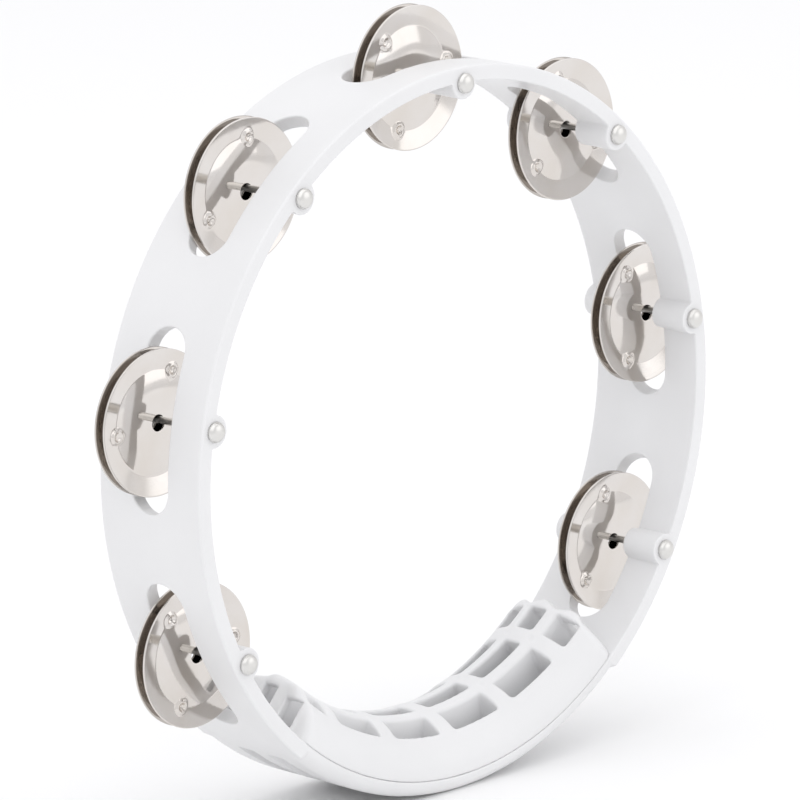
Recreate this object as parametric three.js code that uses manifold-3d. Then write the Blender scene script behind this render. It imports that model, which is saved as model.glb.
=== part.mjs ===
// Headless tambourine: a moulded hoop with a thick hand grip set inside it, and seven
// pairs of pressed steel jingles, each pair hung on its own headed pin.
// Millimetres, +Z up. The hoop stands on its rim with its axis along Y, the pin heads
// on the -Y side and the grip at the bottom. The origin is the middle of the base.

import * as THREE from 'three';
import { mergeVertices } from 'three/addons/utils/BufferGeometryUtils.js';
import Module from 'manifold-3d';

const wasm = await Module();
wasm.setup();

// Driving dimensions: the hoop
const HOOP_RADIUS = 127;
const HOOP_WIDTH = 47;
const HOOP_WALL = 5.5;
const RIM_CHAMFER = 0.7;
const HOOP_FACETS = 60;

// The slots that the jingles hang in, and the bosses that carry their pins
const JINGLE_COUNT = 7;
const JINGLE_PITCH = 40;
const SLOT_LENGTH = 62.4;
const SLOT_WIDTH = 17;
const SLOT_ARC_POINTS = 6;
const BOSS_RADIUS = 5.4;
const BOSS_FACETS = 20;
const PIN_CIRCLE = 121.3;

// The headed pins
const PIN_RADIUS = 1.25;
const PIN_BORE_RADIUS = 1.4;
const PIN_BORE_DEPTH = 10;
const PIN_TIP_GAP = 0.4;
const PIN_FACETS = 16;
const HEAD_RADIUS = 3.5;
const HEAD_HEIGHT = 2.5;
const HEAD_EDGE = 0.9;
const HEAD_ARC_POINTS = 3;

// The jingles: discs of sheet pressed to a ring-shaped valley, which touches the partner
const DISC_RADIUS = 25;
const DISC_SHEET = 0.7;
const DISC_HOLE_RADIUS = 2.8;
const DISC_FACETS = 24;
const HUB_RADIUS = 8;
const CROWN_RADIUS = 13;
const CROWN_DEPTH = 0.45;
const VALLEY_RADIUS = 18;
const VALLEY_DEPTH = 1.5;
// Where the middle of each pair hangs along its pin
const PAIR_OFFSETS = [2.4, 5.3, 5, 2.9, 2.7, 0.8, 2.9];

// The hand grip, a hollow D section against the inside of the hoop
const GRIP_HALF_ANGLE = 39;
const GRIP_CREST = 101.3;
const GRIP_ARC_POINTS = 12;
const GRIP_END_BULGE = 6;
const GRIP_CORNER_RADIUS = 4.5;
const GRIP_CORNER_POINTS = 4;
const GRIP_ROWS = [-12, 0, 12];
const GRIP_ROW_WIDTHS = [8, 7, 8];
const GRIP_COLUMNS = 3;
const GRIP_WINDOW_ANGLE = 12;
const GRIP_RIB_ANGLE = 4;
const GRIP_POCKET_FLOOR = 118.5;
const GRIP_BRIDGE_ANGLE = 2.5;
const GRIP_TUNNEL_TOPS = [108.5, 105.5, 108.5];
const GRIP_TUNNEL_INSET = 1;

// The channels cored out of the hoop's outer face under the grip
const CHANNEL_NEAR_Y = 3.1;
const CHANNEL_FAR_Y = 10.9;
const CHANNEL_DEPTH = 2.4;
const CHANNEL_HALF_ANGLE = 36.5;
const CHANNEL_RIBS = [-16, 0, 16];
const CHANNEL_RIB_ANGLE = 1.8;

// Small clearances between pieces
const GAP = 0.3;
const OVERRUN = 2;
// Points closer than this are one point
const WELD = 1e-4;

const HALF_WIDTH = HOOP_WIDTH / 2;
const INNER_RADIUS = HOOP_RADIUS - HOOP_WALL;
// The heads stand out on one side only, so the hoop sits this far behind the middle
const HOOP_Y = (HEAD_HEIGHT + GAP) / 2;
const TOP_ANGLE = 90;
const BOTTOM_ANGLE = 270;

const AXIS_Y = new THREE.Vector3(0, 1, 0);

const materials = {
  hoop: new THREE.MeshStandardMaterial({ color: 0xeef0f1, roughness: 0.42, metalness: 0 }),
  grip: new THREE.MeshStandardMaterial({ color: 0xe9ebec, roughness: 0.5, metalness: 0 }),
  jingle: new THREE.MeshStandardMaterial({ color: 0xc9c7c2, roughness: 0.14, metalness: 1 }),
  pin: new THREE.MeshStandardMaterial({ color: 0xb9bbbf, roughness: 0.2, metalness: 1 }),
};

// Booleans

function toSolid(geometry) {
  const bare = geometry.index ? geometry.clone() : geometry;
  bare.deleteAttribute('normal');
  bare.deleteAttribute('uv');
  const merged = mergeVertices(bare, WELD);
  const mesh = new wasm.Mesh({
    numProp: 3,
    vertProperties: new Float32Array(merged.attributes.position.array),
    triVerts: new Uint32Array(merged.index.array),
  });
  return new wasm.Manifold(mesh);
}

function toGeometry(solid) {
  const mesh = solid.getMesh();
  const geometry = new THREE.BufferGeometry();
  geometry.setAttribute('position', new THREE.BufferAttribute(mesh.vertProperties, 3));
  geometry.setIndex(new THREE.BufferAttribute(mesh.triVerts, 1));
  geometry.computeVertexNormals();
  return geometry;
}

// Places on the hoop

function radians(degrees) {
  return THREE.MathUtils.degToRad(degrees);
}

// Local x runs round the hoop, y along its axis and z outwards
function station(angle) {
  const outwards = new THREE.Vector3(Math.cos(radians(angle)), 0, Math.sin(radians(angle)));
  const around = new THREE.Vector3().crossVectors(AXIS_Y, outwards);
  return new THREE.Matrix4().makeBasis(around, AXIS_Y, outwards);
}

function pinAngle(index) {
  const middle = (JINGLE_COUNT - 1) / 2;
  return TOP_ANGLE + (middle - index) * JINGLE_PITCH;
}

function onPinCircle(index, y) {
  const angle = radians(pinAngle(index));
  return new THREE.Vector3(PIN_CIRCLE * Math.cos(angle), y, PIN_CIRCLE * Math.sin(angle));
}

// A closed outline turned round Y, its facets touching the true circles at their middles
function ring(outline) {
  const spread = 1 / Math.cos(Math.PI / HOOP_FACETS);
  const points = outline.map(([radius, y]) => new THREE.Vector2(radius * spread, y));
  points.push(points[0].clone());
  return toSolid(new THREE.LatheGeometry(points, HOOP_FACETS, Math.PI / HOOP_FACETS));
}

function block(size, place, angle) {
  const geometry = new THREE.BoxGeometry(size.x, size.y, size.z);
  geometry.translate(place.x, place.y, place.z);
  geometry.applyMatrix4(station(angle));
  return toSolid(geometry);
}

function rod(radius, from, to, facets, place) {
  const geometry = new THREE.CylinderGeometry(radius, radius, to - from, facets);
  geometry.translate(place.x, (from + to) / 2, place.z);
  return toSolid(geometry);
}

// The hoop

function bandOutline() {
  const chamferedOuter = HOOP_RADIUS - RIM_CHAMFER;
  const chamferedSide = HALF_WIDTH - RIM_CHAMFER;
  return [
    [INNER_RADIUS, -HALF_WIDTH],
    [chamferedOuter, -HALF_WIDTH],
    [HOOP_RADIUS, -chamferedSide],
    [HOOP_RADIUS, chamferedSide],
    [chamferedOuter, HALF_WIDTH],
    [INNER_RADIUS, HALF_WIDTH],
  ];
}

function slotCutter(angle) {
  const radius = SLOT_WIDTH / 2;
  const straight = SLOT_LENGTH / 2 - radius;
  const shape = new THREE.Shape();
  shape.absarc(straight, 0, radius, -Math.PI / 2, Math.PI / 2);
  shape.absarc(-straight, 0, radius, Math.PI / 2, (3 * Math.PI) / 2);
  const depth = HOOP_WALL + BOSS_RADIUS + 2 * OVERRUN;
  const geometry = new THREE.ExtrudeGeometry(shape, {
    depth,
    curveSegments: SLOT_ARC_POINTS,
    bevelEnabled: false,
  });
  geometry.translate(0, 0, HOOP_RADIUS + OVERRUN - depth);
  geometry.applyMatrix4(station(angle));
  return toSolid(geometry);
}

// What the comfortable rounding beside the grip takes off one outer edge of the hoop
function cornerOutline(side) {
  const centreRadius = HOOP_RADIUS - GRIP_CORNER_RADIUS;
  const centreY = HALF_WIDTH - GRIP_CORNER_RADIUS;
  const outline = [
    [HOOP_RADIUS + OVERRUN, HALF_WIDTH + OVERRUN],
    [centreRadius, HALF_WIDTH + OVERRUN],
  ];
  for (let i = 0; i <= GRIP_CORNER_POINTS; i += 1) {
    const turn = (1 - i / GRIP_CORNER_POINTS) * (Math.PI / 2);
    const radius = centreRadius + GRIP_CORNER_RADIUS * Math.cos(turn);
    outline.push([radius, centreY + GRIP_CORNER_RADIUS * Math.sin(turn)]);
  }
  outline.push([HOOP_RADIUS + OVERRUN, centreY]);
  return side > 0 ? outline : outline.map(([radius, y]) => [radius, -y]).reverse();
}

// A wedge between two angles, as wide as the hoop and more
function sector(fromAngle, toAngle) {
  const reach = HOOP_RADIUS * 2;
  const shape = new THREE.Shape();
  shape.moveTo(0, 0);
  for (const angle of [fromAngle, (fromAngle + toAngle) / 2, toAngle]) {
    shape.lineTo(reach * Math.cos(radians(angle)), reach * Math.sin(radians(angle)));
  }
  const geometry = new THREE.ExtrudeGeometry(shape, { depth: reach, bevelEnabled: false });
  geometry.rotateX(Math.PI / 2);
  geometry.translate(0, reach / 2, 0);
  return toSolid(geometry);
}

// One side's channel under the grip, crossed by ribs
function channelCutter(side) {
  const ys = [side * CHANNEL_NEAR_Y, side * CHANNEL_FAR_Y].sort((a, b) => a - b);
  const floor = HOOP_RADIUS - CHANNEL_DEPTH;
  const past = HOOP_RADIUS + OVERRUN;
  const channel = ring([[floor, ys[0]], [past, ys[0]], [past, ys[1]], [floor, ys[1]]]);
  let from = BOTTOM_ANGLE - CHANNEL_HALF_ANGLE;
  const cuts = [];
  for (const rib of CHANNEL_RIBS) {
    cuts.push([from, BOTTOM_ANGLE + rib - CHANNEL_RIB_ANGLE / 2]);
    from = BOTTOM_ANGLE + rib + CHANNEL_RIB_ANGLE / 2;
  }
  cuts.push([from, BOTTOM_ANGLE + CHANNEL_HALF_ANGLE]);
  return wasm.Manifold.union(cuts.map(([start, end]) => channel.intersect(sector(start, end))));
}

function makeHoop() {
  let solid = ring(bandOutline());
  for (let i = 0; i < JINGLE_COUNT; i += 1) {
    for (const [from, to] of [[-HALF_WIDTH, 0], [0, HALF_WIDTH]]) {
      solid = solid.add(rod(BOSS_RADIUS, from, to, BOSS_FACETS, onPinCircle(i, 0)));
    }
  }
  for (let i = 0; i < JINGLE_COUNT; i += 1) {
    solid = solid.subtract(slotCutter(pinAngle(i)));
    const from = -HALF_WIDTH - OVERRUN;
    const to = SLOT_WIDTH / 2 + PIN_BORE_DEPTH;
    solid = solid.subtract(rod(PIN_BORE_RADIUS, from, to, PIN_FACETS, onPinCircle(i, 0)));
  }
  const besideGrip = sector(BOTTOM_ANGLE - GRIP_HALF_ANGLE, BOTTOM_ANGLE + GRIP_HALF_ANGLE);
  for (const side of [-1, 1]) {
    solid = solid.subtract(ring(cornerOutline(side)).intersect(besideGrip));
    solid = solid.subtract(channelCutter(side));
  }
  return solid;
}

// The hand grip

function gripOutline() {
  const base = INNER_RADIUS - GAP;
  const halfWidth = HALF_WIDTH - GAP;
  const outline = [];
  for (let i = 0; i <= GRIP_ARC_POINTS; i += 1) {
    const turn = (i / GRIP_ARC_POINTS) * Math.PI;
    outline.push([base - (base - GRIP_CREST) * Math.sin(turn), halfWidth * Math.cos(turn)]);
  }
  return outline;
}

// Keeps what lies on the grip's side of one end, which bows out between the side walls
function gripEndKeeper(side) {
  const reach = HOOP_RADIUS * 2;
  const shape = new THREE.Shape();
  shape.moveTo(side * reach, HOOP_WIDTH);
  shape.lineTo(0, HOOP_WIDTH);
  for (let i = 0; i <= GRIP_ARC_POINTS; i += 1) {
    const turn = (i / GRIP_ARC_POINTS) * Math.PI;
    shape.lineTo(-side * GRIP_END_BULGE * Math.sin(turn), HALF_WIDTH * Math.cos(turn));
  }
  shape.lineTo(0, -HOOP_WIDTH);
  shape.lineTo(side * reach, -HOOP_WIDTH);
  const geometry = new THREE.ExtrudeGeometry(shape, { depth: reach, bevelEnabled: false });
  geometry.applyMatrix4(station(BOTTOM_ANGLE + side * GRIP_HALF_ANGLE));
  return toSolid(geometry);
}

// A core-out between two angles from the grip's middle, open from one radius outwards
function gripPocket(side, start, end, row, width, top) {
  const length = 2 * GRIP_CREST * Math.tan(radians(end - start) / 2);
  const size = new THREE.Vector3(length, width, GRIP_POCKET_FLOOR - top);
  const place = new THREE.Vector3(0, GRIP_ROWS[row], (GRIP_POCKET_FLOOR + top) / 2);
  return block(size, place, BOTTOM_ANGLE + (side * (start + end)) / 2);
}

function gripCutters(side) {
  const pitch = GRIP_WINDOW_ANGLE + GRIP_RIB_ANGLE;
  const lastWindowEnd = GRIP_HALF_ANGLE + GRIP_BRIDGE_ANGLE - OVERRUN;
  const lastWindowStart = GRIP_RIB_ANGLE / 2 + (GRIP_COLUMNS - 1) * pitch;
  const cutters = [];
  for (let row = 0; row < GRIP_ROWS.length; row += 1) {
    const width = GRIP_ROW_WIDTHS[row];
    for (let column = 0; column < GRIP_COLUMNS; column += 1) {
      const start = GRIP_RIB_ANGLE / 2 + column * pitch;
      const end = Math.min(start + GRIP_WINDOW_ANGLE, lastWindowEnd);
      cutters.push(gripPocket(side, start, end, row, width, GRIP_CREST - OVERRUN));
    }
    // The last window of a row also opens through the end of the grip, as a tunnel
    const tunnelEnd = lastWindowStart + GRIP_WINDOW_ANGLE;
    const tunnelWidth = width - 2 * GRIP_TUNNEL_INSET;
    const top = GRIP_TUNNEL_TOPS[row];
    cutters.push(gripPocket(side, lastWindowStart, tunnelEnd, row, tunnelWidth, top));
  }
  return cutters;
}

function makeGrip() {
  let solid = ring(gripOutline());
  for (const side of [-1, 1]) {
    solid = solid.intersect(gripEndKeeper(side));
  }
  for (const side of [-1, 1]) {
    for (const cutter of gripCutters(side)) {
      solid = solid.subtract(cutter);
    }
  }
  return solid;
}

// The pins

function pinGeometry() {
  const headTop = -HALF_WIDTH - GAP - HEAD_HEIGHT;
  const headFoot = -HALF_WIDTH - GAP;
  const tip = SLOT_WIDTH / 2 + PIN_BORE_DEPTH - PIN_TIP_GAP;
  const points = [];
  for (let i = 0; i <= HEAD_ARC_POINTS; i += 1) {
    const turn = (i / HEAD_ARC_POINTS) * (Math.PI / 2);
    const rise = (HEAD_HEIGHT - HEAD_EDGE) * (1 - Math.cos(turn));
    points.push(new THREE.Vector2(HEAD_RADIUS * Math.sin(turn), headTop + rise));
  }
  points.push(new THREE.Vector2(HEAD_RADIUS, headFoot));
  points.push(new THREE.Vector2(PIN_RADIUS, headFoot));
  points.push(new THREE.Vector2(PIN_RADIUS, tip));
  points.push(new THREE.Vector2(0, tip));
  return new THREE.LatheGeometry(points, PIN_FACETS);
}

// The jingles

// The rim's open face starts on y = 0 and the valley goes towards +Y
function discGeometry() {
  const rings = [
    [DISC_HOLE_RADIUS, 0],
    [HUB_RADIUS, 0],
    [CROWN_RADIUS, CROWN_DEPTH],
    [VALLEY_RADIUS, VALLEY_DEPTH],
    [DISC_RADIUS, 0],
  ];
  const front = rings.map(([radius, depth]) => new THREE.Vector2(radius, depth));
  const back = rings.map(([radius, depth]) => new THREE.Vector2(radius, depth + DISC_SHEET));
  const outline = [...front, ...back.reverse(), front[0].clone()];
  return new THREE.LatheGeometry(outline, DISC_FACETS);
}

// Assembly

function named(name, geometry, material) {
  const mesh = new THREE.Mesh(geometry, material);
  mesh.name = name;
  return mesh;
}

function closed(geometry) {
  return toGeometry(toSolid(geometry));
}

function makeStation(index) {
  const group = new THREE.Group();
  const number = index + 1;
  group.position.copy(onPinCircle(index, 0));
  group.add(named(`pin_${number}`, closed(pinGeometry()), materials.pin));

  const hang = DISC_HOLE_RADIUS - PIN_RADIUS - GAP;
  const halfPair = GAP / 2 + VALLEY_DEPTH + DISC_SHEET;
  const near = named(`jingle_near_${number}`, closed(discGeometry()), materials.jingle);
  near.position.set(0, PAIR_OFFSETS[index] - halfPair, -hang);
  group.add(near);

  const far = named(`jingle_far_${number}`, closed(discGeometry()), materials.jingle);
  far.position.set(0, PAIR_OFFSETS[index] + halfPair, -hang);
  far.rotation.x = Math.PI;
  group.add(far);
  return group;
}

function makeTambourine() {
  const hoopCentre = new THREE.Group();
  hoopCentre.position.set(0, HOOP_Y, HOOP_RADIUS);
  hoopCentre.add(named('hoop', toGeometry(makeHoop()), materials.hoop));
  hoopCentre.add(named('hand_grip', toGeometry(makeGrip()), materials.grip));
  for (let i = 0; i < JINGLE_COUNT; i += 1) {
    hoopCentre.add(makeStation(i));
  }
  const tambourine = new THREE.Group();
  tambourine.add(hoopCentre);
  return tambourine;
}

export default makeTambourine();
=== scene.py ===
"""The looks of a headless tambourine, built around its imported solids.

Every piece is made in millimetres from the middle of the hoop, with +Y along the
hoop's axis away from the pin heads and +Z up, and is then put where the frame says.
"""

import bmesh
import bpy
import numpy as np
import openvdb
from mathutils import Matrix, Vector


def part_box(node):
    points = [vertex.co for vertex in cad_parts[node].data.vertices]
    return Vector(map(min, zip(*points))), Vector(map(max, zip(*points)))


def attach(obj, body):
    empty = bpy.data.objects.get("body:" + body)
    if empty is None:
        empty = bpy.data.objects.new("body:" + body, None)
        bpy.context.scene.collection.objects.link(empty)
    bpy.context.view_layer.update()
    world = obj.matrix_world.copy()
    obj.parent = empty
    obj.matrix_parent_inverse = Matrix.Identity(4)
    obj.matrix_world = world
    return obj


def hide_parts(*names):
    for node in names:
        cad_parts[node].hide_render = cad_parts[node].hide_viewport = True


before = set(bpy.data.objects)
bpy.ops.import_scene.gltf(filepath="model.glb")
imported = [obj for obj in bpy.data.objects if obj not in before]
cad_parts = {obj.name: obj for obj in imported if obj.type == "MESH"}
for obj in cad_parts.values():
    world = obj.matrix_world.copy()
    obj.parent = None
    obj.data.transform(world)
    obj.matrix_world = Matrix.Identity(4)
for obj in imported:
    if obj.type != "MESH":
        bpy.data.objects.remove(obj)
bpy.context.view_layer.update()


# The hoop is one injection moulding in white ABS: a flat band with seven long slots and
# half-round bosses beside each one, which carry the pins. The mould leaves soft edges,
# a fine orange-peel skin, and two cored-out channels under the hand grip.
MM = 0.001
hoop_low, hoop_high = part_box("hoop")
HOOP_CENTRE = (hoop_low + hoop_high) / 2
HOOP_RADIUS = (hoop_high.x - hoop_low.x) / 2 / MM
HOOP_HALF_WIDTH = (hoop_high.y - hoop_low.y) / 2 / MM
HOOP_WALL = 5.5
HOOP_INNER_RADIUS = HOOP_RADIUS - HOOP_WALL
STATION_ANGLES = [210, 170, 130, 90, 50, 10, -30]
STATION_HALF_ANGLE = 20
BAND_HALF = 18.5
RIM_ROUND = 0.8
INNER_ROUND = 0.5
SLOT_HALF_STRAIGHT = 22.7
SLOT_HALF_WIDTH = 8.5
SLOT_OUTER_ROUND = 0.7
SLOT_INNER_ROUND = 0.4
PIN_CIRCLE = 121.3
BOSS_RADIUS = 5.3
BOSS_DRAFT = 0.02
BOSS_BLEND = 2.2
BOSS_FLANK_SLOPE = 5.0
GRIP_MIDDLE = 270
GRIP_SECTOR = 40
GRIP_RIM_ROUND = 4.4
GRIP_RIM_FROM = 38.1
GRIP_RIM_TO = 39.1
CHANNEL_Y = [3.1, 10.9]
CHANNEL_HALF_ANGLE = 36.5
CHANNEL_DEPTH = 2.4
CHANNEL_DRAFT = 0.9
CHANNEL_RIBS = [-16, 0, 16]
CHANNEL_RIB_HALF = 0.9
PLASTIC_WHITE = (0.80, 0.80, 0.805, 1)
# In metres: points closer than the first are one, and edges shorter than the second go
WELD_DISTANCE = 2e-6
DEGENERATE_EDGE = 1e-6


def smooth_step(low, high, value):
    t = np.clip((value - low) / (high - low), 0, 1)
    return t * t * (3 - 2 * t)


def finished(shape, mesh):
    """Writes the shape into the mesh, smooth and with its faces outwards."""
    bmesh.ops.recalc_face_normals(shape, faces=shape.faces)
    for face in shape.faces:
        face.smooth = True
    shape.to_mesh(mesh)
    shape.free()
    return mesh


def joined_mesh(name, grids, closed_rows=()):
    """One welded, smooth mesh from grids of points in millimetres. Each grid is
    rows x columns x 3, and those whose place is in closed_rows close on themselves."""
    points = []
    faces = []
    start = 0
    for place, grid in enumerate(grids):
        rows, columns = grid.shape[:2]
        index = start + np.arange(rows * columns).reshape(rows, columns)
        if place in closed_rows:
            index = np.concatenate([index, index[:, :1]], axis=1)
        quads = [index[:-1, :-1], index[:-1, 1:], index[1:, 1:], index[1:, :-1]]
        faces.append(np.stack(quads, axis=-1).reshape(-1, 4))
        points.append(grid.reshape(-1, 3))
        start += rows * columns
    mesh = bpy.data.meshes.new(name)
    mesh.from_pydata((np.concatenate(points) * MM).tolist(), [], np.concatenate(faces).tolist())
    shape = bmesh.new()
    shape.from_mesh(mesh)
    bmesh.ops.remove_doubles(shape, verts=shape.verts, dist=WELD_DISTANCE)
    bmesh.ops.dissolve_degenerate(shape, edges=shape.edges, dist=DEGENERATE_EDGE)
    return finished(shape, mesh)


def placed(name, mesh, place, material):
    piece = bpy.data.objects.new(name, mesh)
    bpy.context.scene.collection.objects.link(piece)
    piece.location = place
    mesh.materials.clear()
    mesh.materials.append(material)
    return piece


def at_station(angle, along, y, out):
    """Points from their place beside a station: along the hoop, across it, and outwards."""
    turn = np.radians(angle)
    along, y, out = np.broadcast_arrays(along, y, out)
    x = out * np.cos(turn) - along * np.sin(turn)
    z = out * np.sin(turn) + along * np.cos(turn)
    return np.stack([x, y, z], axis=-1)


# Where the mesh has its columns, from the middle of a station to its end
BOSS_COLUMNS = [0.8, 1.6, 2.4, 3.1, 3.7, 4.2, 4.6, 4.95, 5.2, 5.4, 5.65, 6.1, 6.8, 7.8]
WALL_COLUMNS = 8
ARC_COLUMNS = 6


def both_ways(half):
    half = np.asarray(half)
    return np.concatenate([-half[::-1], [0], half])


def station_columns(radius):
    start = np.arcsin(BOSS_COLUMNS[-1] / radius)
    turns = np.linspace(start, np.radians(STATION_HALF_ANGLE), WALL_COLUMNS + ARC_COLUMNS + 1)
    return both_ways(np.concatenate([BOSS_COLUMNS, radius * np.sin(turns[1:])]))


CHANNEL_LEVELS = [1.4, 2.4, 2.8, 3.1, 3.45, 3.8, 4.2, 5.4, 7.0, 8.6, 9.8, 10.2, 10.55, 10.9, 11.2, 12.4]
BAND_LEVELS = both_ways(CHANNEL_LEVELS + [14.5, 16.5, BAND_HALF])


def wall_inside(along, y, has_boss):
    """How far out the inner face of the band is, with the boss melting into it."""
    wall = np.sqrt(HOOP_INNER_RADIUS**2 - along**2)
    if not has_boss:
        return wall
    radius = BOSS_RADIUS + BOSS_DRAFT * (np.abs(y) - SLOT_HALF_WIDTH)
    side = np.abs(along)
    boss = PIN_CIRCLE - np.sqrt(np.clip(radius**2 - side**2, 0, None))
    boss = boss + np.clip(side - radius, 0, None) * BOSS_FLANK_SLOPE
    share = np.clip(0.5 + 0.5 * (boss - wall) / BOSS_BLEND, 0, 1)
    return boss * (1 - share) + wall * share - BOSS_BLEND * share * (1 - share)


def slot_outline():
    """Points round the slot's edge, and which way is out of the slot at each."""
    arc = np.linspace(90, 45, ARC_COLUMNS + 1)[1:]
    straight = np.linspace(BOSS_COLUMNS[-1], SLOT_HALF_STRAIGHT, WALL_COLUMNS + 1)[1:]
    centres = both_ways(np.concatenate([BOSS_COLUMNS, straight, np.full(ARC_COLUMNS, SLOT_HALF_STRAIGHT)]))
    half = np.concatenate([np.full(len(BOSS_COLUMNS) + WALL_COLUMNS, 90.0), arc])
    turns = np.concatenate([180 - half[::-1], [90], half])
    side = 45 * BAND_LEVELS[::-1] / BAND_HALF
    ends = np.full(len(side), SLOT_HALF_STRAIGHT)
    centres = np.concatenate([centres[:-1], ends[:-1], centres[::-1][:-1], -ends[:-1]])
    turns = np.concatenate([turns[:-1], side[:-1], -turns[::-1][:-1], 180 - side[::-1][:-1]])
    turns = np.radians(turns)
    normal = np.stack([np.cos(turns), np.sin(turns)], axis=-1)
    edge = np.stack([centres, np.zeros_like(centres)], axis=-1) + SLOT_HALF_WIDTH * normal
    return edge, normal


def outline_of_band(columns):
    """The same points round the whole of a station's part of the band."""
    top = np.stack([columns, np.full(len(columns), BAND_HALF)], axis=-1)
    levels = BAND_LEVELS[::-1]
    right = np.stack([np.full(len(levels), columns[-1]), levels], axis=-1)
    return np.concatenate([top[:-1], right[:-1], -top[:-1], -right[:-1]])


def slotted_band(angle):
    """The middle of the band at one station: its outer face, the slot and its inner face."""
    edge, normal = slot_outline()
    outer_line = outline_of_band(station_columns(HOOP_RADIUS))
    inner_line = outline_of_band(station_columns(HOOP_INNER_RADIUS))
    rings = []
    turns = np.radians(np.linspace(90, 0, 6))
    outer = [(d, 0.0) for d in (3.2, 1.8, 1.0)]
    outer += [(SLOT_OUTER_ROUND * (1 - np.cos(t)), SLOT_OUTER_ROUND * (1 - np.sin(t))) for t in turns]
    first = edge + outer[0][0] * normal
    for share in (1, 0.75, 0.5, 0.25):
        line = outer_line * share + first * (1 - share)
        rings.append(at_station(angle, line[:, 0], line[:, 1], np.sqrt(HOOP_RADIUS**2 - line[:, 0] ** 2)))
    for away, drop in outer:
        line = edge + away * normal
        out = np.sqrt((HOOP_RADIUS - drop) ** 2 - line[:, 0] ** 2)
        rings.append(at_station(angle, line[:, 0], line[:, 1], out))
    top = out
    inner = [(SLOT_INNER_ROUND * (1 - np.cos(t)), SLOT_INNER_ROUND * (1 - np.sin(t))) for t in turns[::-1]]
    inner += [(d, 0.0) for d in (1.0, 1.8, 3.2)]
    foot = wall_inside(edge[:, 0], edge[:, 1], True) + SLOT_INNER_ROUND
    for share in (0.05, 0.3, 0.5, 0.7, 0.95):
        rings.append(at_station(angle, edge[:, 0], edge[:, 1], top * (1 - share) + foot * share))
    for away, drop in inner:
        line = edge + away * normal
        sunk = wall_inside(line[:, 0], line[:, 1], True) + drop
        rings.append(at_station(angle, line[:, 0], line[:, 1], sunk))
    for share in (0.25, 0.5, 0.75, 1):
        last = inner_line * share + line * (1 - share)
        rings.append(at_station(angle, last[:, 0], last[:, 1], wall_inside(last[:, 0], last[:, 1], True)))
    return np.stack(rings)


def band_edge(angle, side, outer_columns, inner_columns, rim_round, has_boss):
    """One edge of the band: over its rounded rim, across its flat side face and in again."""
    turns = np.arcsin(outer_columns / HOOP_RADIUS)
    rows = []
    for share in (0, 0.4, 0.8, 0.97):
        y = BAND_HALF + share * (HOOP_HALF_WIDTH - rim_round - BAND_HALF)
        rows.append((outer_columns, y, np.sqrt(HOOP_RADIUS**2 - outer_columns**2)))
    for turn in np.radians(np.linspace(0, 90, 9)):
        radius = HOOP_RADIUS - rim_round * (1 - np.cos(turn))
        y = HOOP_HALF_WIDTH - rim_round * (1 - np.sin(turn))
        rows.append((radius * np.sin(turns), y, radius * np.cos(turns)))
    start_along, _, start_out = rows[-1]
    lean = inner_columns / HOOP_INNER_RADIUS

    def off_the_wall(y, away):
        out = wall_inside(inner_columns, y, has_boss)
        return inner_columns + away * lean, out + away * np.sqrt(1 - lean**2)

    end_along, end_out = off_the_wall(HOOP_HALF_WIDTH, INNER_ROUND)
    for share in (0.03, 0.3, 0.6, 0.85, 0.97):
        along = start_along * (1 - share) + end_along * share
        rows.append((along, HOOP_HALF_WIDTH, start_out * (1 - share) + end_out * share))
    for turn in np.radians(np.linspace(0, 90, 5)):
        y = HOOP_HALF_WIDTH - INNER_ROUND * (1 - np.cos(turn))
        along, out = off_the_wall(y, INNER_ROUND * (1 - np.sin(turn)))
        rows.append((along, y, out))
    for share in (0.1, 0.4, 0.7, 1):
        y = HOOP_HALF_WIDTH - INNER_ROUND + share * (BAND_HALF + INNER_ROUND - HOOP_HALF_WIDTH)
        rows.append((inner_columns, y, wall_inside(inner_columns, y, has_boss)))
    return np.stack([at_station(angle, along, side * y, out) for along, y, out in rows])


def channel_depth(turns, y):
    across = smooth_step(CHANNEL_Y[0], CHANNEL_Y[0] + CHANNEL_DRAFT, np.abs(y))
    across = across * smooth_step(CHANNEL_Y[1], CHANNEL_Y[1] - CHANNEL_DRAFT, np.abs(y))
    draft = np.degrees(CHANNEL_DRAFT / HOOP_RADIUS)
    along = smooth_step(CHANNEL_HALF_ANGLE, CHANNEL_HALF_ANGLE - draft, np.abs(turns))
    for rib in CHANNEL_RIBS:
        along = along * smooth_step(CHANNEL_RIB_HALF, CHANNEL_RIB_HALF + draft, np.abs(turns - rib))
    return CHANNEL_DEPTH * across * along


def hoop_under_grip():
    """The part of the band that the grip sits on, with its rounder rims."""
    half = [0.5, 0.9, 1.1, 1.35, 2.0, 3.5, 5.5, 8.0, 10.5, 13, 14.6, 14.85, 15.1, 16, 16.9, 17.15, 17.5]
    half += [19, 21, 23, 25, 27, 29, 31, 33, 34.8, 35.9, 36.15, 36.35, 36.5, 36.8, 37.4, 38.0, 38.2]
    half += [38.4, 38.6, 38.8, 39.0, 39.2, 39.5, GRIP_SECTOR]
    turns = both_ways(half)
    outer = HOOP_RADIUS * np.sin(np.radians(turns))
    inner = HOOP_INNER_RADIUS * np.sin(np.radians(turns))
    extra = smooth_step(GRIP_RIM_TO, GRIP_RIM_FROM, np.abs(turns))
    rim_round = RIM_ROUND + (GRIP_RIM_ROUND - RIM_ROUND) * extra
    grids = [band_edge(GRIP_MIDDLE, side, outer, inner, rim_round, False) for side in (-1, 1)]
    level, turn = np.meshgrid(BAND_LEVELS, turns, indexing="ij")
    radius = HOOP_RADIUS - channel_depth(turn, level)
    across, out = np.sin(np.radians(turn)), np.cos(np.radians(turn))
    grids.append(at_station(GRIP_MIDDLE, radius * across, level, radius * out))
    grids.append(at_station(GRIP_MIDDLE, HOOP_INNER_RADIUS * across, level, HOOP_INNER_RADIUS * out))
    return grids


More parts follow.
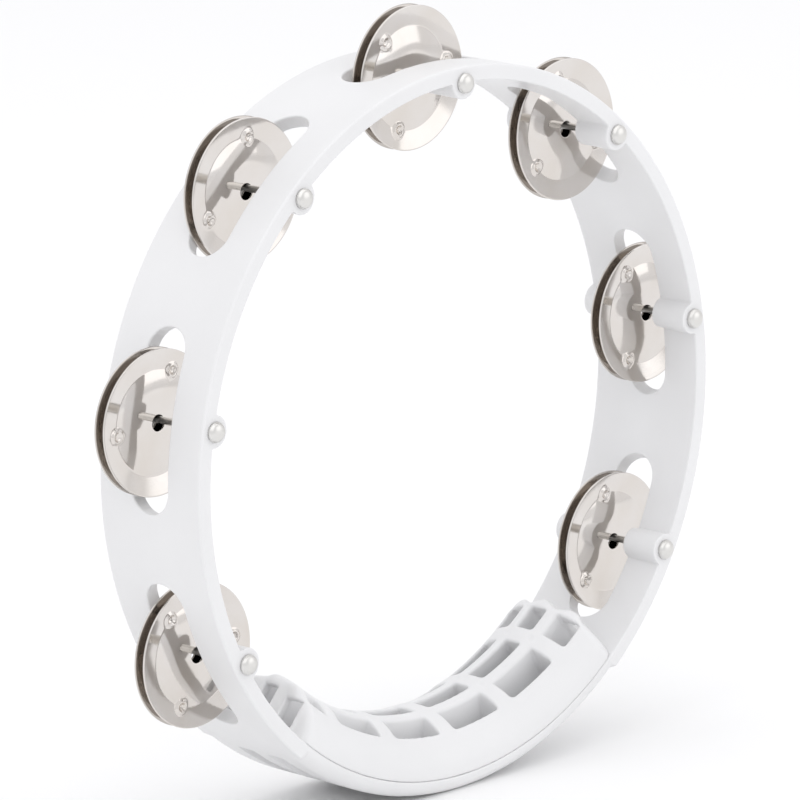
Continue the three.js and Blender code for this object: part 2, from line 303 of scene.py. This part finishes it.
# Nearly all of a noise's values lie in this range
NOISE_RANGE = (0.3, 0.7)


def ranged(material, value, source, target):
    """A value carried from one range to another in a material's nodes."""
    node = material.node_tree.nodes.new("ShaderNodeMapRange")
    node.inputs["From Min"].default_value, node.inputs["From Max"].default_value = source
    node.inputs["To Min"].default_value, node.inputs["To Max"].default_value = target
    material.node_tree.links.new(value, node.inputs["Value"])
    return node.outputs["Result"]


def moulded_plastic(name, colour, rough):
    """White ABS: a fine orange-peel skin, slight clouding, and rubbing that dulls the gloss."""
    material = bpy.data.materials.new(name)
    material.use_nodes = True
    nodes, links = material.node_tree.nodes, material.node_tree.links
    shader = nodes["Principled BSDF"]
    shader.inputs["IOR"].default_value = 1.5
    shader.inputs["Subsurface Weight"].default_value = 0.12
    shader.inputs["Subsurface Radius"].default_value = (0.004, 0.004, 0.004)
    shader.inputs["Subsurface Scale"].default_value = 0.5
    place = nodes.new("ShaderNodeTexCoord").outputs["Object"]

    def noise(scale, detail, roughness=0.5):
        node = nodes.new("ShaderNodeTexNoise")
        node.inputs["Scale"].default_value = scale
        node.inputs["Detail"].default_value = detail
        node.inputs["Roughness"].default_value = roughness
        links.new(place, node.inputs["Vector"])
        return node.outputs["Fac"]

    def spread(value, low, high):
        return ranged(material, value, NOISE_RANGE, (low, high))

    tint = nodes.new("ShaderNodeMix")
    tint.data_type = "RGBA"
    tint.inputs["A"].default_value = colour
    tint.inputs["B"].default_value = tuple(c * 0.965 for c in colour[:3]) + (1,)
    links.new(spread(noise(26, 4), 0, 1), tint.inputs["Factor"])
    links.new(tint.outputs["Result"], shader.inputs["Base Color"])

    rubbed = nodes.new("ShaderNodeMath")
    rubbed.operation = "ADD"
    links.new(spread(noise(55, 6, 0.65), rough - 0.05, rough + 0.06), rubbed.inputs[0])
    links.new(spread(noise(1400, 2), -0.02, 0.02), rubbed.inputs[1])
    links.new(rubbed.outputs["Value"], shader.inputs["Roughness"])

    skin = nodes.new("ShaderNodeBump")
    skin.inputs["Strength"].default_value = 0.25
    skin.inputs["Distance"].default_value = 0.00006
    links.new(noise(1500, 3), skin.inputs["Height"])
    ripple = nodes.new("ShaderNodeBump")
    ripple.inputs["Strength"].default_value = 0.2
    ripple.inputs["Distance"].default_value = 0.0002
    links.new(noise(90, 2), ripple.inputs["Height"])
    links.new(skin.outputs["Normal"], ripple.inputs["Normal"])
    links.new(ripple.outputs["Normal"], shader.inputs["Normal"])
    return material


hoop_grids = [slotted_band(angle) for angle in STATION_ANGLES]
slotted = range(len(STATION_ANGLES))
for angle in STATION_ANGLES:
    for side in (-1, 1):
        columns = station_columns(HOOP_RADIUS), station_columns(HOOP_INNER_RADIUS)
        hoop_grids.append(band_edge(angle, side, *columns, RIM_ROUND, True))
hoop_grids += hoop_under_grip()
hoop_plastic = moulded_plastic("hoop_abs", PLASTIC_WHITE, 0.36)
hoop = placed("moulded_hoop", joined_mesh("moulded_hoop", hoop_grids, slotted), HOOP_CENTRE, hoop_plastic)
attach(hoop, "frame")
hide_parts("hoop")


# The hand grip is a second white ABS moulding, a hollow D that fits the palm, glued to
# the inside of the hoop. Three rows of deep windows core it out to an even wall, and the
# last of each row runs out under a rounded arch at the grip's end.
GRIP_BASE = HOOP_INNER_RADIUS - 0.08
GRIP_CREST = 101.3
GRIP_HALF_WIDTH = 23.3
GRIP_END = 39
GRIP_END_BOW = 2.0
GRIP_END_ARCHES = 1.1
GRIP_END_ROUND = 3.0
ARCHES_FADE_Y = [16, 18]
GRIP_ROW_PITCH = 12
GRIP_ROW_HALVES = [3.5, 4.0]
WINDOW_MIDDLES = [8, 24, 36.75]
WINDOW_HALVES = [6, 6, 2.75]
WINDOW_CORNER = 1.0
WINDOW_EDGE = 1.2
WINDOW_FLOOR = 118.5
TUNNEL_MIDDLE = 40
TUNNEL_HALF = 6
TUNNEL_TOPS = [105.5, 108.5]
TUNNEL_CORNER = 2.2
TUNNEL_INSET = 0.6
CROSSING_TURNS = [16, 32]
CROSSING_Y = 5.8
CROSSING_RADIUS = 2.4
CROSSING_REACH = 2.1
CROSSING_EDGE = 0.3
# The block of space that the grip's mesh is drawn out of, and how fine and how deep
FIELD_X = [-88, 88]
FIELD_Y = [-24.5, 24.5]
FIELD_Z = [-122.5, -70]
FIELD_DEPTH = 3.0
VOXEL = 0.5


def smooth_max(a, b, blend):
    share = np.clip(0.5 + 0.5 * (a - b) / blend, 0, 1)
    return b * (1 - share) + a * share + blend * share * (1 - share)


def grip_distance(x, y, z):
    """Roughly how far each point is from the grip's skin, in millimetres, minus inside."""
    radius = np.hypot(x, z)
    turn = np.degrees(np.arctan2(np.abs(x), -z))
    y = np.abs(y)
    depth, width = GRIP_BASE - GRIP_CREST, GRIP_HALF_WIDTH
    rise = GRIP_BASE - radius
    reach = np.maximum(np.sqrt((rise / depth) ** 2 + (y / width) ** 2), 0.05)
    slope = np.sqrt((rise / depth**2) ** 2 + (y / width**2) ** 2) / reach
    body = (reach - 1) / np.maximum(slope, 0.01)
    bow = np.sqrt(np.clip(1 - (y / width) ** 2, 0, 1))
    arches = np.cos(np.pi * y / GRIP_ROW_PITCH) ** 2 * (1 - smooth_step(*ARCHES_FADE_Y, y))
    end = GRIP_END + GRIP_END_BOW * bow + GRIP_END_ARCHES * arches
    body = smooth_max(body, np.radians(turn - end) * radius, GRIP_END_ROUND)
    body = np.maximum(body, radius - GRIP_BASE)

    def cored(middle, half, row, half_width, top, corner):
        along = np.abs(np.radians(turn - middle)) * radius - np.radians(half) * radius + corner
        across = np.abs(y - row * GRIP_ROW_PITCH) - half_width + corner
        side = np.hypot(np.maximum(along, 0), np.maximum(across, 0))
        side = side + np.minimum(np.maximum(along, across), 0)
        return np.maximum(np.maximum(side - corner, radius - WINDOW_FLOOR), top - radius)

    for row, half_width in enumerate(GRIP_ROW_HALVES):
        for middle, half in zip(WINDOW_MIDDLES, WINDOW_HALVES):
            window = cored(middle, half, row, half_width, 0, WINDOW_CORNER)
            body = smooth_max(body, -window, WINDOW_EDGE)
        narrowed = half_width - TUNNEL_INSET
        tunnel = cored(TUNNEL_MIDDLE, TUNNEL_HALF, row, narrowed, TUNNEL_TOPS[row], TUNNEL_CORNER)
        body = smooth_max(body, -tunnel, WINDOW_EDGE)
    for crossing in CROSSING_TURNS:
        lift = GRIP_BASE - depth * np.sqrt(1 - (CROSSING_Y / width) ** 2) - CROSSING_REACH
        along = np.radians(turn - crossing) * radius
        ball = np.sqrt(along**2 + (y - CROSSING_Y) ** 2 + (radius - lift) ** 2) - CROSSING_RADIUS
        body = smooth_max(body, -ball, CROSSING_EDGE)
    return body


def moulded_grip():
    """The skin of the grip as one mesh, from its distance field."""
    x, y, z = [np.arange(low, high + VOXEL, VOXEL) for low, high in (FIELD_X, FIELD_Y, FIELD_Z)]
    field = grip_distance(*np.meshgrid(x, y, z, indexing="ij")).astype(np.float32)
    grid = openvdb.FloatGrid(FIELD_DEPTH)
    grid.copyFromArray(np.clip(field, -FIELD_DEPTH, FIELD_DEPTH))
    points, quads = grid.convertToQuads(0.0)
    points = points * VOXEL + np.array([x[0], y[0], z[0]])
    mesh = bpy.data.meshes.new("hand_grip")
    mesh.from_pydata((points * MM).tolist(), [], quads.tolist())
    shape = bmesh.new()
    shape.from_mesh(mesh)
    return finished(shape, mesh)


grip_plastic = moulded_plastic("grip_abs", PLASTIC_WHITE, 0.4)
grip = placed("moulded_grip", moulded_grip(), HOOP_CENTRE, grip_plastic)
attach(grip, "frame")
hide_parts("hand_grip")


# Seven steel pins with low domed heads, nickel plated. Each is pushed through the near
# boss, across the slot and into the far boss, and its head stays just proud of the hoop.
PIN_RADIUS = 1.25
HEAD_RADIUS = 3.5
HEAD_EDGE = 0.95
HEAD_ROUND = 0.18
LATHE_STEPS = 64
HEAD_CLEARANCE = 0.05
CROWN_TURN = 84
CROWN_POINTS = 15
LIP_INSET = 0.04
LIP_FALLS = [0.02, 0.16]
PIN_FILLET = 0.1
TIP_CHAMFER = 0.3
# Painted shade: a dark colour mixed into the faces that look into the gap between the two discs of a pair,
# and how far they must face inwards to get it
GAP_SHADE_COLOUR = (0.3, 0.27, 0.24, 1)
GAP_SHADE_FACING = (0.15, 0.6)


def turned(profile, steps):
    """A grid from a profile of (radius, y) points turned round the Y axis."""
    turns = np.linspace(0, 2 * np.pi, steps, endpoint=False)
    radius, y = np.array(profile).T[:, :, None]
    x, z = radius * np.sin(turns), radius * np.cos(turns)
    return np.stack([x, np.broadcast_to(y, x.shape), z], axis=-1)


def worn_metal(name, colour, rough, scratch, gap_shade=0.0):
    """Bright nickel on steel, finely polished in circles; painted shade darkens what faces local +Y,
    standing for the gap between paired discs.
    """
    material = bpy.data.materials.new(name)
    material.use_nodes = True
    nodes, links = material.node_tree.nodes, material.node_tree.links
    shader = nodes["Principled BSDF"]
    shader.inputs["Metallic"].default_value = 1.0
    place = nodes.new("ShaderNodeTexCoord").outputs["Object"]

    def noise(scale, detail, vector):
        node = nodes.new("ShaderNodeTexNoise")
        node.inputs["Scale"].default_value = scale
        node.inputs["Detail"].default_value = detail
        links.new(vector, node.inputs["Vector"])
        return node.outputs["Fac"]

    def spread(value, low, high):
        return ranged(material, value, NOISE_RANGE, (low, high))

    tint = nodes.new("ShaderNodeMix")
    tint.data_type = "RGBA"
    tint.inputs["A"].default_value = colour
    tint.inputs["B"].default_value = (colour[0] * 0.93, colour[1] * 0.91, colour[2] * 0.88, 1)
    links.new(spread(noise(60, 5, place), 0, 1), tint.inputs["Factor"])
    inward = nodes.new("ShaderNodeSeparateXYZ")
    links.new(nodes["Texture Coordinate"].outputs["Normal"], inward.inputs["Vector"])
    # Painted shade: the more a face turns to local +Y, towards its partner disc, the more of the dark
    # colour it gets
    shade_share = ranged(material, inward.outputs["Y"], GAP_SHADE_FACING, (0, gap_shade))
    shade_mix = nodes.new("ShaderNodeMix")
    shade_mix.data_type = "RGBA"
    shade_mix.inputs["B"].default_value = GAP_SHADE_COLOUR
    links.new(tint.outputs["Result"], shade_mix.inputs["A"])
    links.new(shade_share, shade_mix.inputs["Factor"])
    links.new(shade_mix.outputs["Result"], shader.inputs["Base Color"])

    split = nodes.new("ShaderNodeSeparateXYZ")
    links.new(place, split.inputs["Vector"])
    flat = nodes.new("ShaderNodeCombineXYZ")
    links.new(split.outputs["X"], flat.inputs["X"])
    links.new(split.outputs["Z"], flat.inputs["Y"])
    reach = nodes.new("ShaderNodeVectorMath")
    reach.operation = "LENGTH"
    links.new(flat.outputs["Vector"], reach.inputs[0])
    lines = nodes.new("ShaderNodeCombineXYZ")
    links.new(reach.outputs["Value"], lines.inputs["X"])
    polish = noise(5200, 2, lines.outputs["Vector"])

    haze = nodes.new("ShaderNodeMath")
    haze.operation = "ADD"
    links.new(spread(noise(160, 6, place), rough - 0.03, rough + 0.05), haze.inputs[0])
    links.new(spread(polish, -0.02, 0.02), haze.inputs[1])
    links.new(haze.outputs["Value"], shader.inputs["Roughness"])

    cut = nodes.new("ShaderNodeBump")
    cut.inputs["Strength"].default_value = scratch
    cut.inputs["Distance"].default_value = 0.00001
    links.new(polish, cut.inputs["Height"])
    wave = nodes.new("ShaderNodeBump")
    wave.inputs["Strength"].default_value = 0.15
    wave.inputs["Distance"].default_value = 0.0001
    links.new(noise(110, 1, place), wave.inputs["Height"])
    links.new(cut.outputs["Normal"], wave.inputs["Normal"])
    links.new(wave.outputs["Normal"], shader.inputs["Normal"])
    return material


pin_low, pin_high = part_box("pin_1")
pin_top = pin_low.y / MM - HOOP_CENTRE.y / MM
pin_tip = pin_high.y / MM - HOOP_CENTRE.y / MM
head_foot = -HOOP_HALF_WIDTH - HEAD_CLEARANCE
lip = head_foot - HEAD_EDGE
crown = lip - pin_top
turns = np.radians(np.linspace(0, CROWN_TURN, CROWN_POINTS))
pin_profile = [
    (HEAD_RADIUS * np.sin(t) / np.sin(turns[-1]), pin_top + crown * (1 - np.cos(t))) for t in turns
]
pin_profile = [(radius * (1 - HEAD_ROUND / HEAD_RADIUS), y) for radius, y in pin_profile]
pin_profile += [(HEAD_RADIUS - LIP_INSET, lip + LIP_FALLS[0]), (HEAD_RADIUS, lip + LIP_FALLS[1])]
pin_profile += [(HEAD_RADIUS, head_foot - PIN_FILLET), (HEAD_RADIUS - PIN_FILLET, head_foot)]
pin_profile += [(PIN_RADIUS + PIN_FILLET, head_foot), (PIN_RADIUS, head_foot + PIN_FILLET)]
pin_profile += [(PIN_RADIUS, pin_tip - TIP_CHAMFER), (PIN_RADIUS - TIP_CHAMFER, pin_tip), (0, pin_tip)]
pin_mesh = joined_mesh("pin", [turned(pin_profile, LATHE_STEPS)], [0])
pin_steel = worn_metal("pin_nickel", (0.74, 0.735, 0.72, 1), 0.3, 0.1)
for place, angle in enumerate(STATION_ANGLES):
    node = f"pin_{place + 1}"
    low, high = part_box(node)
    middle = Vector(((low.x + high.x) / 2, HOOP_CENTRE.y, (low.z + high.z) / 2))
    pin = placed(f"headed_pin_{place + 1}", pin_mesh, middle, pin_steel)
    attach(pin, "frame")
    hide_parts(node)


# Seven pairs of jingles, discs pressed from thin steel sheet and nickel plated. Each falls
# from a flat hub to a ring-shaped valley with three punched dimples, and rises again to its
# rim. The two of a pair hang loose on their pin, valley to valley, so their rims stand apart.
DISC_RADIUS = 25
DISC_SHEET = 0.7
DISC_EDGE = 0.22
HOLE_RADIUS = 2.8
HUB_RADIUS = 8
CROWN_POWER = 1.8
VALLEY_RADIUS = 18
VALLEY_DEPTH = 1.5
VALLEY_BLEND = 0.12
DIMPLES = 3
DIMPLE_CENTRE = 18.2
PAD_RADIUS = [1.9, 3.3]
PAD_HEIGHT = 0.75
DIMPLE_RADIUS = 1.75
DIMPLE_DEPTH = 0.7
COLLAR_HEIGHT = 0.2
PIT_RADIUS = 0.55
PIT_DEPTH = 0.3
# How far each pair is turned on its pin, from a dimple straight up towards +X
PAIR_TURNS = [81.5, 24, 5.5, 78.5, 110, 88, 108]


def pressed(radius, turn):
    """How deep the sheet is pressed at a place on the disc, towards its partner."""
    across = np.clip(radius - HUB_RADIUS, 0, None) / (VALLEY_RADIUS - HUB_RADIUS)
    crown = VALLEY_DEPTH * across**CROWN_POWER
    flange = VALLEY_DEPTH * (DISC_RADIUS - radius) / (DISC_RADIUS - VALLEY_RADIUS)
    share = np.clip(0.5 + 0.5 * (flange - crown) / VALLEY_BLEND, 0, 1)
    depth = crown * share + flange * (1 - share) - VALLEY_BLEND * share * (1 - share)
    pitch = 2 * np.pi / DIMPLES
    turn = (turn + pitch / 2) % pitch - pitch / 2
    away = np.hypot(radius * np.sin(turn), radius * np.cos(turn) - DIMPLE_CENTRE)
    depth = depth - PAD_HEIGHT * (1 - smooth_step(*PAD_RADIUS, away))
    depth = depth + DIMPLE_DEPTH * (1 - smooth_step(DIMPLE_RADIUS * 0.45, DIMPLE_RADIUS, away))
    depth = depth - COLLAR_HEIGHT * np.exp(-(((away - DIMPLE_RADIUS * 1.1) / 0.26) ** 2))
    return depth + PIT_DEPTH * (1 - smooth_step(PIT_RADIUS * 0.5, PIT_RADIUS, away))


def disc_grid(turned_by):
    """One disc's skin, front and back, from its hole to its rim."""
    near_dimple = np.concatenate([np.arange(0, 9.5, 0.62), np.arange(10.2, 58.6, 2.42)])
    half = np.concatenate([-near_dimple[1:][::-1], near_dimple])
    turns = np.radians(np.concatenate([half + 360 / DIMPLES * k for k in range(DIMPLES)]))
    front = [HOLE_RADIUS, HOLE_RADIUS + 0.06, HOLE_RADIUS + 0.2, 3.2, 5, 7, 7.6, 8.2, 9, 10]
    front += [11, 12, 13, 14, 14.8] + list(np.arange(15.2, 17.6, 0.3)) + [17.7, 17.85, 18, 18.15, 18.3]
    front += list(np.arange(18.5, 21.6, 0.3)) + [22.2, 23.2, 24.0, 24.5, DISC_RADIUS - DISC_EDGE]
    rows = []
    for radius in front:
        start = DISC_EDGE if radius == HOLE_RADIUS else 0
        if radius == HOLE_RADIUS + 0.06:
            start = DISC_EDGE * 0.3
        rows.append((radius, start))
    for turn in np.radians([30, 60, 90]):
        rows.append((DISC_RADIUS - DISC_EDGE * (1 - np.sin(turn)), DISC_EDGE * (1 - np.cos(turn))))
    back = [(radius, DISC_SHEET - y) for radius, y in reversed(rows)]
    rows = rows + back + [rows[0]]
    radius = np.array([r for r, _ in rows])[:, None]
    y = np.array([v for _, v in rows])[:, None] + pressed(radius, turns[None, :])
    turns = turns + np.radians(turned_by)
    return np.stack([radius * np.sin(turns), y, radius * np.cos(turns)], axis=-1)


# The last argument paints shade onto each disc's inner face, standing for the dark gap between the pair
jingle_steel = worn_metal("jingle_nickel", (0.74, 0.71, 0.685, 1), 0.08, 0.25, 0.5)
for place, turn in enumerate(PAIR_TURNS):
    number = place + 1
    for which in ("near", "far"):
        node = f"jingle_{which}_{number}"
        low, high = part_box(node)
        face = low.y if which == "near" else high.y
        middle = Vector(((low.x + high.x) / 2, face, (low.z + high.z) / 2))
        side = 1 if which == "near" else -1
        disc_mesh = joined_mesh(f"{which}_disc_{number}", [disc_grid(side * turn)], [0])
        disc = placed(f"{which}_jingle_{number}", disc_mesh, middle, jingle_steel)
        if which == "far":
            disc.rotation_euler = (0, 0, np.pi)
        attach(disc, f"{which}_jingle_{number}")
        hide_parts(node)


# A plain white studio: the floor is one pale sheet, and large soft lights stand all
# round. The camera is level-headed, a long lens well back and a little above.
VIEW_AZIMUTH = -46.535
VIEW_ELEVATION = 13.14
VIEW_DISTANCE = 2.1695
VIEW_LENS = 283.95
VIEW_SHIFT = (-4.63, 7.66)
FLOOR_REACH = 9

floor_mesh = bpy.data.meshes.new("floor")
corners = [(x * FLOOR_REACH, y * FLOOR_REACH, 0) for x, y in ((-1, -1), (1, -1), (1, 1), (-1, 1))]
floor_mesh.from_pydata(corners, [], [(0, 1, 2, 3)])
paper = bpy.data.materials.new("floor_paper")
paper.use_nodes = True
paper_shader = paper.node_tree.nodes["Principled BSDF"]
paper_shader.inputs["Base Color"].default_value = (0.93, 0.93, 0.93, 1)
paper_shader.inputs["Roughness"].default_value = 0.9
paper_shader.inputs["Specular IOR Level"].default_value = 0.1
floor = placed("floor", floor_mesh, (0, 0, 0), paper)

world = bpy.data.worlds.new("studio")
world.use_nodes = True
world.node_tree.nodes["Background"].inputs["Color"].default_value = (0.93, 0.93, 0.945, 1)
world.node_tree.nodes["Background"].inputs["Strength"].default_value = 1.0
bpy.context.scene.world = world


def softbox(name, place, size, power):
    light = bpy.data.lights.new(name, "AREA")
    light.shape = "RECTANGLE"
    light.size, light.size_y = size
    light.energy = power
    lamp = bpy.data.objects.new(name, light)
    bpy.context.scene.collection.objects.link(lamp)
    lamp.location = place
    aim = HOOP_CENTRE - Vector(place)
    lamp.rotation_euler = aim.to_track_quat("-Z", "Y").to_euler()


softbox("key_light", (-1.6, -0.6, 2.2), (2.6, 2.6), 10)
softbox("top_light", (0.3, 0.2, 2.6), (2.4, 2.4), 9)
softbox("fill_light", (1.2, -2.2, 1.2), (2.4, 2.0), 8)

azimuth, elevation = np.radians(VIEW_AZIMUTH), np.radians(VIEW_ELEVATION)
level = Vector((np.sin(azimuth), -np.cos(azimuth), 0)) * np.cos(elevation)
towards = level + Vector((0, 0, np.sin(elevation)))
camera_data = bpy.data.cameras.new("camera")
camera_data.lens = VIEW_LENS
camera_data.sensor_width = 36
camera_data.clip_end = 50
camera = bpy.data.objects.new("camera", camera_data)
bpy.context.scene.collection.objects.link(camera)
look = (-towards).to_track_quat("-Z", "Y")
right, up = look @ Vector((1, 0, 0)), look @ Vector((0, 1, 0))
camera.location = HOOP_CENTRE + towards * VIEW_DISTANCE + (right * VIEW_SHIFT[0] + up * VIEW_SHIFT[1]) * MM
camera.rotation_euler = look.to_euler()
bpy.context.scene.camera = camera
bpy.context.scene.view_settings.view_transform = "Standard"
